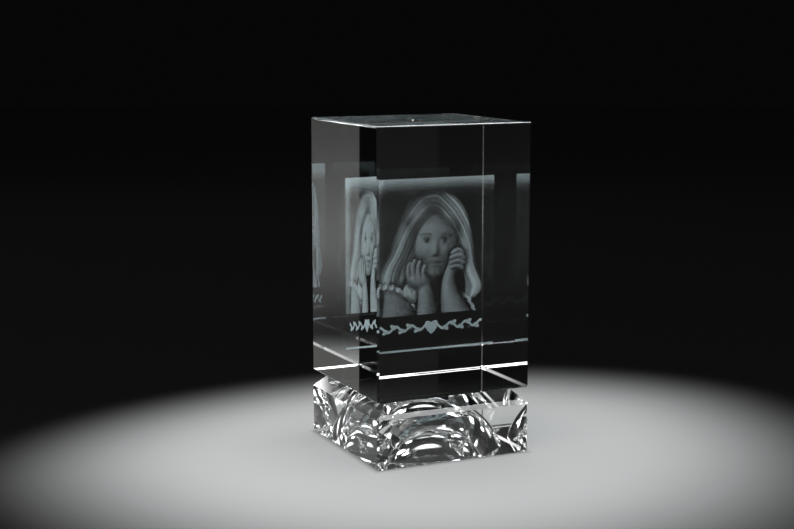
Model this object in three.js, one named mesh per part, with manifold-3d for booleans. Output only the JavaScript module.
// Engraved crystal block on a loose crystal base.
// Millimetres, +Z up. The origin is the centre of the base's underside, and the engraved picture faces -Y.
import * as THREE from "three";
import { mergeVertices } from "three/addons/utils/BufferGeometryUtils.js";
import Module from "manifold-3d";

const wasm = await Module();
wasm.setup();

// Upright block: a cuboid of clear glass with every edge bevelled at 45 degrees.
const BLOCK_WIDTH = 50;
const BLOCK_DEPTH = 50;
const BLOCK_HEIGHT = 80;
const BLOCK_BEVEL = 0.5;

// Base: ground to the block's plan, with a wide bevel on top and a domed hollow underneath.
const BASE_HEIGHT = 20;
const BASE_CHAMFER = 5;
const BASE_BEVEL = 0.5;
// Glass left between the hollow's rim and the nearest side face, and between its crown and the top face.
const HOLLOW_WALL = 2.2;
const HOLLOW_ROOF = 4.5;
const HOLLOW_SIDES = 72;
const HOLLOW_RINGS = 14;

// Engraving: one thin sheet of cracked glass inside the block, parallel to the front face.
const ENGRAVING_SETBACK = 26;
const ENGRAVING_THICKNESS = 0.4;
const ENGRAVING_SIDE_MARGIN = 4;
const ENGRAVING_TOP_MARGIN = 17;
const ENGRAVING_BOTTOM_MARGIN = 11;
const CAPTION_HEIGHT = 11;
const BORDER_LINE_WIDTH = 0.4;
// Clear space round each engraved area, so that each is a body of its own.
const AREA_GAP = 0.3;
// Fine channel that opens the engraving's pocket to the hidden underside of the block.
const VENT_WIDTH = 0.8;

// Ornament in the caption strip: a heart between two leafy vines.
const ORNAMENT_DROP = 4;
const ORNAMENT_SIDE_MARGIN = 4;
const HEART_WIDTH = 4.6;
const HEART_HEIGHT = 4.2;
const VINE_WIDTH = 0.5;
const VINE_SWING = 0.8;
const VINE_PITCH = 5.2;
const LEAF_LENGTH = 1.8;
const LEAF_WIDTH = 0.9;

// The areas of the portrait are drawn on a grid 42 wide and 41 high, from the middle of its bottom edge.
const GRID_WIDTH = 42;
const GRID_HEIGHT = 41;
const CURVE_STEPS = 6;
const HAIR = [
  [1.0, 37.0], [5.5, 35.9], [9.0, 33.0], [11.7, 29.0], [13.2, 24.6], [14.0, 19.8], [15.5, 14.4],
  [16.9, 10.0], [16.2, 6.8], [13.6, 3.8], [11.8, 5.4], [11.4, 9.5], [10.6, 14.0], [8.0, 19.0],
  [1.5, 21.0], [-5.0, 19.0], [-8.0, 14.0], [-9.4, 10.8], [-12.4, 9.4], [-17.0, 9.8], [-16.4, 13.0],
  [-14.4, 18.0], [-12.2, 23.4], [-10.2, 28.8], [-7.6, 33.5], [-3.6, 36.2],
];
const FACE = [
  [1.9, 30.4], [5.9, 28.4], [8.2, 24.6], [8.8, 19.6], [8.0, 15.0], [5.6, 11.8],
  [1.5, 10.8], [-2.6, 11.8], [-5.1, 15.0], [-5.8, 19.6], [-4.8, 24.6], [-1.6, 28.6],
];
const LEFT_ARM = [
  [-7.9, 16.0], [-5.4, 17.1], [-3.0, 16.4], [-1.5, 14.6], [-1.2, 11.6], [0.4, 8.6], [1.6, 4.6], [1.8, -1.5],
  [-5.0, -1.5], [-4.6, 4.0], [-5.2, 7.0], [-7.8, 9.8], [-8.9, 13.2],
];
const RIGHT_ARM = [
  [6.7, 18.8], [9.1, 19.8], [11.4, 18.8], [11.9, 16.0], [11.2, 12.9], [8.4, 12.4], [8.2, 9.6], [9.8, 6.2],
  [12.6, 4.4], [15.9, -1.5], [4.2, -1.5], [3.3, 4.6], [3.5, 9.6], [5.2, 13.4], [5.7, 16.4],
];
const SLEEVE = [
  [-17.4, 9.3], [-12.6, 8.9], [-8.8, 9.9], [-4.6, 9.6], [-3.2, 7.2], [-4.3, 3.4], [-4.8, -1.5],
  [-16.4, -1.5], [-15.9, 4.0], [-16.2, 7.4],
];

const engravingWidth = BLOCK_WIDTH - 2 * ENGRAVING_SIDE_MARGIN;
const engravingHeight = BLOCK_HEIGHT - ENGRAVING_TOP_MARGIN - ENGRAVING_BOTTOM_MARGIN;
const engravingPlane = ENGRAVING_SETBACK - BLOCK_DEPTH / 2;
const pictureHeight = engravingHeight - CAPTION_HEIGHT;
const pictureBottom = ENGRAVING_BOTTOM_MARGIN + CAPTION_HEIGHT;

// Closed solid of a three.js shape.
function solidOf(geometry) {
  const bare = geometry.clone();
  bare.deleteAttribute("normal");
  bare.deleteAttribute("uv");
  const welded = mergeVertices(bare, 1e-5);
  const corners = welded.index.array;
  const kept = [];
  for (let i = 0; i < corners.length; i += 3) {
    const [a, b, c] = [corners[i], corners[i + 1], corners[i + 2]];
    if (a !== b && b !== c && c !== a) {
      kept.push(a, b, c);
    }
  }
  const mesh = new wasm.Mesh({
    numProp: 3,
    vertProperties: Float32Array.from(welded.attributes.position.array),
    triVerts: Uint32Array.from(kept),
  });
  mesh.merge();
  return new wasm.Manifold(mesh);
}

function geometryOf(solid) {
  const mesh = solid.getMesh();
  const geometry = new THREE.BufferGeometry();
  geometry.setAttribute("position", new THREE.BufferAttribute(Float32Array.from(mesh.vertProperties), 3));
  geometry.setIndex(new THREE.BufferAttribute(Uint32Array.from(mesh.triVerts), 1));
  const faceted = geometry.toNonIndexed();
  faceted.computeVertexNormals();
  return faceted;
}

// Cuboid that stands on z = 0, with its top edges and its other edges bevelled at 45 degrees.
function bevelledBlock(width, depth, height, topBevel, bevel) {
  const side = (span) => new THREE.Shape([
    new THREE.Vector2(-span / 2 + bevel, 0),
    new THREE.Vector2(span / 2 - bevel, 0),
    new THREE.Vector2(span / 2, bevel),
    new THREE.Vector2(span / 2, height - topBevel),
    new THREE.Vector2(span / 2 - topBevel, height),
    new THREE.Vector2(-span / 2 + topBevel, height),
    new THREE.Vector2(-span / 2, height - topBevel),
    new THREE.Vector2(-span / 2, bevel),
  ]);
  const plan = new THREE.Shape([
    new THREE.Vector2(-width / 2 + bevel, -depth / 2),
    new THREE.Vector2(width / 2 - bevel, -depth / 2),
    new THREE.Vector2(width / 2, -depth / 2 + bevel),
    new THREE.Vector2(width / 2, depth / 2 - bevel),
    new THREE.Vector2(width / 2 - bevel, depth / 2),
    new THREE.Vector2(-width / 2 + bevel, depth / 2),
    new THREE.Vector2(-width / 2, depth / 2 - bevel),
    new THREE.Vector2(-width / 2, -depth / 2 + bevel),
  ]);
  const front = new THREE.ExtrudeGeometry(side(width), { depth, bevelEnabled: false });
  front.rotateX(Math.PI / 2);
  front.translate(0, depth / 2, 0);
  const flank = new THREE.ExtrudeGeometry(side(depth), { depth: width, bevelEnabled: false });
  flank.rotateX(Math.PI / 2);
  flank.rotateZ(Math.PI / 2);
  flank.translate(-width / 2, 0, 0);
  const tower = new THREE.ExtrudeGeometry(plan, { depth: height, bevelEnabled: false });
  return solidOf(front).intersect(solidOf(flank)).intersect(solidOf(tower));
}

// Round cap below a dome: an arc from the crown down to the rim, then straight down past the underside.
function domeCutter(rimRadius, height) {
  const sphereRadius = (rimRadius ** 2 + height ** 2) / (2 * height);
  const centre = height - sphereRadius;
  const rimAngle = Math.atan2(rimRadius, -centre);
  const profile = [new THREE.Vector2(0, -height), new THREE.Vector2(rimRadius, -height)];
  for (let i = 0; i < HOLLOW_RINGS; i += 1) {
    const angle = rimAngle * (1 - i / HOLLOW_RINGS);
    profile.push(new THREE.Vector2(sphereRadius * Math.sin(angle), centre + sphereRadius * Math.cos(angle)));
  }
  profile.push(new THREE.Vector2(0, height));
  const dome = new THREE.LatheGeometry(profile, HOLLOW_SIDES);
  dome.rotateX(Math.PI / 2);
  return solidOf(dome);
}

// Smooth closed outline through points of the portrait's grid, at its place in the picture.
function outline(points) {
  const scaleX = engravingWidth / GRID_WIDTH;
  const scaleZ = pictureHeight / GRID_HEIGHT;
  const knots = points.map(([x, z]) => new THREE.Vector3(x * scaleX, z * scaleZ + pictureBottom, 0));
  const curve = new THREE.CatmullRomCurve3(knots, true, "catmullrom", 0.5);
  const ring = curve.getPoints(points.length * CURVE_STEPS).slice(0, -1);
  return ring.map((point) => new THREE.Vector2(point.x, point.y));
}

// Outline moved outwards by a distance. The outlines run clockwise.
function grown(ring, distance) {
  return ring.map((point, i) => {
    const before = ring[(i - 1 + ring.length) % ring.length];
    const after = ring[(i + 1) % ring.length];
    const along = new THREE.Vector2().subVectors(after, before).normalize();
    return new THREE.Vector2(point.x - along.y * distance, point.y + along.x * distance);
  });
}

// Upright plate of an outline, centred on the engraving's plane.
function plate(ring, thickness) {
  const slab = new THREE.ExtrudeGeometry(new THREE.Shape(ring), { depth: thickness, bevelEnabled: false });
  slab.rotateX(Math.PI / 2);
  slab.translate(0, engravingPlane + thickness / 2, 0);
  return solidOf(slab);
}

function panel(width, thickness, bottom, top) {
  const box = new THREE.BoxGeometry(width, thickness, top - bottom);
  box.translate(0, engravingPlane, (bottom + top) / 2);
  return solidOf(box);
}

// Engraved area inside the picture, with room left for the areas in front of it.
function area(ring, others) {
  const picture = panel(
    engravingWidth,
    ENGRAVING_THICKNESS,
    pictureBottom,
    pictureBottom + pictureHeight,
  );
  const whole = ring ? plate(ring, ENGRAVING_THICKNESS).intersect(picture) : picture;
  const left = others.reduce(
    (rest, other) => rest.subtract(plate(grown(other, AREA_GAP), 2 * ENGRAVING_THICKNESS)),
    whole,
  );
  return largestBody(left);
}

// Small corners shut in between neighbouring areas stay clear glass.
function largestBody(solid) {
  const bodies = solid.decompose();
  return bodies.reduce((best, body) => (body.volume() > best.volume() ? body : best));
}

function ellipse(centreX, centreZ, length, width, turn) {
  const curve = new THREE.EllipseCurve(centreX, centreZ, length / 2, width / 2, 0, 2 * Math.PI, true, turn);
  return curve.getPoints(2 * CURVE_STEPS).slice(0, -1);
}

// Heart with a leafy vine on each side, joined into one piece.
function captionOrnament() {
  const middle = pictureBottom - ORNAMENT_DROP;
  const reach = engravingWidth / 2 - ORNAMENT_SIDE_MARGIN;
  const heart = new THREE.Shape();
  const [halfWidth, halfHeight] = [HEART_WIDTH / 2, HEART_HEIGHT / 2];
  heart.moveTo(0, middle - halfHeight);
  heart.bezierCurveTo(
    -halfWidth * 1.35, middle, -halfWidth * 1.05, middle + halfHeight * 1.35, 0, middle + halfHeight * 0.55,
  );
  heart.bezierCurveTo(
    halfWidth * 1.05, middle + halfHeight * 1.35, halfWidth * 1.35, middle, 0, middle - halfHeight,
  );
  const centrepiece = plate(heart.getPoints(CURVE_STEPS).slice(0, -1), ENGRAVING_THICKNESS);
  const swing = (x) => middle + VINE_SWING * Math.sin((2 * Math.PI * x) / VINE_PITCH);
  const steps = Math.ceil((reach / VINE_PITCH) * 2 * CURVE_STEPS);
  const upper = [];
  const lower = [];
  for (let i = 0; i <= steps; i += 1) {
    const x = (reach * i) / steps;
    upper.push(new THREE.Vector2(x, swing(x) + VINE_WIDTH / 2));
    lower.unshift(new THREE.Vector2(x, swing(x) - VINE_WIDTH / 2));
  }
  let vine = plate([...upper, ...lower], ENGRAVING_THICKNESS);
  const leaves = Math.floor((2 * (reach - halfWidth)) / VINE_PITCH);
  for (let i = 1; i <= leaves; i += 1) {
    const x = halfWidth + (i * VINE_PITCH) / 2;
    const above = i % 2 === 0 ? 1 : -1;
    const leaf = ellipse(x, swing(x) + (above * LEAF_WIDTH) / 2, LEAF_LENGTH, LEAF_WIDTH, above * 0.6);
    vine = vine.add(plate(leaf, ENGRAVING_THICKNESS));
  }
  return centrepiece.add(vine).add(vine.mirror([1, 0, 0]));
}

const clearGlass = new THREE.MeshStandardMaterial({ color: 0xe6eeee, roughness: 0.03, metalness: 0 });
const crackedGlass = new THREE.MeshStandardMaterial({ color: 0xf4f7f8, roughness: 0.75, metalness: 0 });

function named(name, solid, material) {
  const mesh = new THREE.Mesh(geometryOf(solid), material);
  mesh.name = name;
  return mesh;
}

const hollowRadius = Math.min(BLOCK_WIDTH, BLOCK_DEPTH) / 2 - HOLLOW_WALL;
const base = bevelledBlock(BLOCK_WIDTH, BLOCK_DEPTH, BASE_HEIGHT, BASE_CHAMFER, BASE_BEVEL).subtract(
  domeCutter(hollowRadius, BASE_HEIGHT - HOLLOW_ROOF),
);

const pocket = panel(
  engravingWidth + 2 * AREA_GAP,
  ENGRAVING_THICKNESS + 2 * AREA_GAP,
  ENGRAVING_BOTTOM_MARGIN - AREA_GAP,
  ENGRAVING_BOTTOM_MARGIN + engravingHeight + AREA_GAP,
);
const vent = panel(VENT_WIDTH, VENT_WIDTH, -VENT_WIDTH, ENGRAVING_BOTTOM_MARGIN);
const block = bevelledBlock(BLOCK_WIDTH, BLOCK_DEPTH, BLOCK_HEIGHT, BLOCK_BEVEL, BLOCK_BEVEL)
  .subtract(pocket)
  .subtract(vent);

const rightArm = outline(RIGHT_ARM);
const leftArm = outline(LEFT_ARM);
const face = outline(FACE);
const hair = outline(HAIR);
const sleeve = outline(SLEEVE);

const upright = new THREE.Group();
upright.name = "upright";
upright.position.z = BASE_HEIGHT;
upright.add(
  named("crystal_block", block, clearGlass),
  named("engraved_right_arm", area(rightArm, []), crackedGlass),
  named("engraved_left_arm", area(leftArm, []), crackedGlass),
  named("engraved_face", area(face, [rightArm, leftArm]), crackedGlass),
  named("engraved_hair", area(hair, [rightArm, leftArm, face]), crackedGlass),
  named("engraved_sleeve", area(sleeve, [leftArm, hair]), crackedGlass),
  named("engraved_backdrop", area(null, [rightArm, leftArm, face, hair, sleeve]), crackedGlass),
  named("engraved_ornament", captionOrnament(), crackedGlass),
  named(
    "engraved_border_line",
    panel(
      engravingWidth,
      ENGRAVING_THICKNESS,
      ENGRAVING_BOTTOM_MARGIN,
      ENGRAVING_BOTTOM_MARGIN + BORDER_LINE_WIDTH,
    ),
    crackedGlass,
  ),
);

const part = new THREE.Group();
part.name = "engraved_crystal_block";
part.add(named("crystal_base", base, clearGlass), upright);

export default part;
